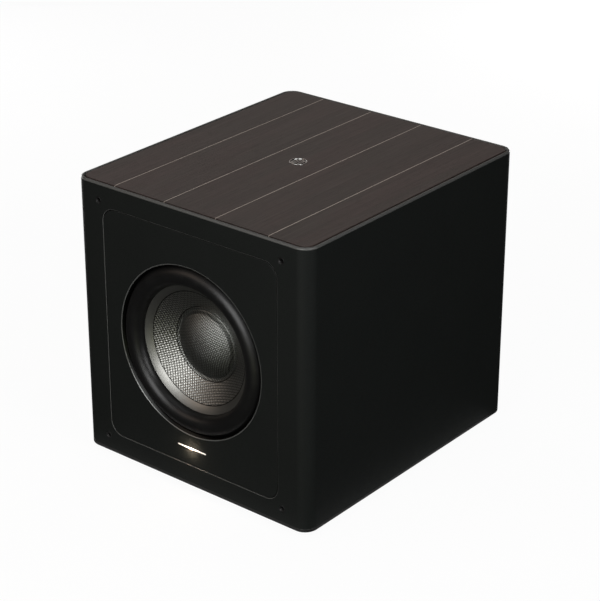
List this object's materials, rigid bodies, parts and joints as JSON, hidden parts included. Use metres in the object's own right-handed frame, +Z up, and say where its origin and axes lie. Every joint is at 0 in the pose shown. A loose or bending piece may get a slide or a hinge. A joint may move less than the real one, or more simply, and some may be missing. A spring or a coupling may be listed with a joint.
{
  "type": "subwoofer cabinet",
  "caption": "Leather-wrapped box subwoofer with a round front driver, a planked wooden lid in a metal trim, rubber feet and a rear plate amplifier with controls.",
  "frame": {"origin": "on the floor, under the centre of the cabinet", "axes": "+Z up, -Y out of the front face with the driver, +X to the right seen from the front"},
  "size_m": [0.42, 0.483, 0.4374],
  "materials": {
    "mdf": "raw fibreboard",
    "wadding": "loose polyester wadding",
    "black_leather": "grained, satin",
    "trim_metal": "satin graphite",
    "base_paint": "painted black",
    "wenge": "oiled, straight grain",
    "maple": "oiled",
    "badge_metal": "brushed",
    "badge_dark": "black anodised",
    "socket_rubber": "matt",
    "light_lens": "frosted, lit from behind",
    "circuit_board": "solder mask",
    "bezel_paint": "satin black",
    "soft_rubber": "satin, moulded",
    "spider_cloth": "resin-treated woven cloth",
    "basket_paint": "powder-coated casting",
    "gasket_foam": "closed-cell foam",
    "black_screw": "blackened",
    "magnet_steel": "zinc plated",
    "ferrite": "ground ferrite",
    "woven_cone": "woven fibre in resin, satin",
    "cone_edge": "satin grey",
    "polyimide": "amber film",
    "copper": "enamelled copper",
    "terminal_brass": "plated",
    "amp_finish": "black anodised",
    "knob_plastic": "soft black",
    "plated_steel": "nickel plated",
    "switch_plastic": "moulded black",
    "rocker_plastic": "gloss black",
    "can_sleeve": "printed-free sleeve",
    "wound_core": "taped toroid",
    "cable_rubber": "insulation"
  },
  "bodies": {
    "cabinet": {"left_wall": "mdf", "right_wall": "mdf", "back_wall": "mdf", "front_baffle": "mdf", "bottom_board": "mdf", "top_board": "mdf", "window_brace": "mdf", "acoustic_wadding": "wadding", "cabinet_leather": "black_leather", "top_trim": "trim_metal", "base_plate": "base_paint", "lid_planks": "wenge", "maple_inlays": "maple", "badge_ring": "badge_metal", "badge_face": "badge_dark", "baffle_insert": "mdf", "insert_leather": "black_leather", "grille_sockets": "socket_rubber", "status_lens": "light_lens", "status_board": "circuit_board", "driver_bezel": "bezel_paint", "surround": "soft_rubber", "spider": "spider_cloth", "driver_basket": "basket_paint", "basket_gasket": "gasket_foam", "basket_screws": "black_screw", "top_plate": "magnet_steel", "magnet_rings": "ferrite", "yoke": "magnet_steel", "insert_dowels": "maple", "driver_terminals": "terminal_brass", "tinsel_leads": "copper", "amp_plate": "amp_finish", "amp_gasket": "gasket_foam", "amp_screws": "black_screw", "pot_bodies": "plated_steel", "phase_switch_case": "switch_plastic", "rca_jacks": "plated_steel", "mains_inlet": "switch_plastic", "mains_pins": "plated_steel", "rocker_case": "switch_plastic", "control_board": "circuit_board", "power_board": "circuit_board", "capacitors": "can_sleeve", "transformer": "wound_core", "driver_cables": "cable_rubber", "rubber_feet": "soft_rubber", "foot_screws": "black_screw"},
    "moving_cone": {"cone_ring": "cone_edge", "cone": "woven_cone", "dust_cap": "woven_cone", "coil_former": "polyimide", "coil_winding": "copper"},
    "level_control": {"level_knob": "knob_plastic", "level_shaft": "plated_steel"},
    "crossover_control": {"crossover_knob": "knob_plastic", "crossover_shaft": "plated_steel"},
    "phase_button": {"phase_slider": "rocker_plastic"},
    "power_switch": {"power_rocker": "rocker_plastic"},
    "fuse_holder": {"fuse_drawer": "rocker_plastic"}
  },
  "joints": [
    {"name": "cone_travel", "type": "slide", "parent": "cabinet", "child": "moving_cone", "axis": [0, -1, 0], "range_m": [-0.012, 0.012], "deforming": ["surround", "spider", "tinsel_leads"]},
    {"name": "level_turn", "type": "hinge", "parent": "cabinet", "child": "level_control", "pos_m": [0.055, 0.224, 0.3265], "axis": [0, 1, 0], "range_deg": [-150, 150]},
    {"name": "crossover_turn", "type": "hinge", "parent": "cabinet", "child": "crossover_control", "pos_m": [-0.055, 0.224, 0.3265], "axis": [0, 1, 0], "range_deg": [-150, 150]},
    {"name": "phase_slide", "type": "slide", "parent": "cabinet", "child": "phase_button", "axis": [-1, 0, 0], "range_m": [0, 0.004]},
    {"name": "power_rock", "type": "hinge", "parent": "cabinet", "child": "power_switch", "pos_m": [0.055, 0.219, 0.1265], "axis": [-1, 0, 0], "range_deg": [0, 20]},
    {"name": "fuse_pull", "type": "slide", "parent": "cabinet", "child": "fuse_holder", "axis": [0, 1, 0], "range_m": [0, 0.018]}
  ]
}
